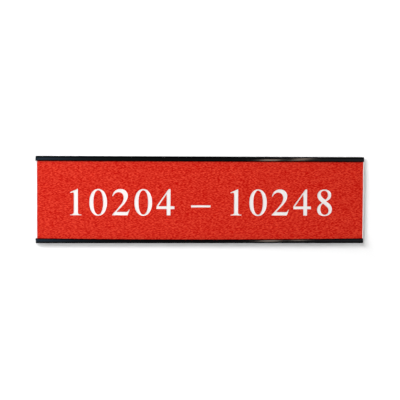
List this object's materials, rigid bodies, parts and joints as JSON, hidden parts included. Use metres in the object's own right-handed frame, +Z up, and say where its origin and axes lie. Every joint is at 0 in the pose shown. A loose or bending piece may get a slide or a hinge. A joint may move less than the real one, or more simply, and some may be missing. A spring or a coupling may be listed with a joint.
{
  "type": "wall sign",
  "caption": "Long low wall sign: an engraved two-ply plastic plate that slides between the rounded lips of a black extruded holder with foam tape on its back.",
  "frame": {"origin": "centre of the wall plane, which is the plane of the two tape strips' adhesive faces", "axes": "+X to the reader's right along the sign, +Y into the wall, +Z up"},
  "size_m": [0.2032, 0.0058, 0.0536],
  "materials": {
    "anodised_black": "black anodised extrusion, soft gloss",
    "core_white": "white core of engraving sheet, bared by the cutter",
    "face_red": "red satin face, finely brushed along its length",
    "foam_tape": "white closed-cell foam with an adhesive skin"
  },
  "bodies": {
    "holder": {"holder_channel": "anodised_black", "tape_upper": "foam_tape", "tape_lower": "foam_tape"},
    "plate": {"plate_core": "core_white", "plate_face": "face_red"}
  },
  "joints": [
    {"name": "plate_slide", "type": "slide", "parent": "holder", "child": "plate", "axis": [1, 0, 0], "range_m": [-0.21, 0.21]}
  ]
}
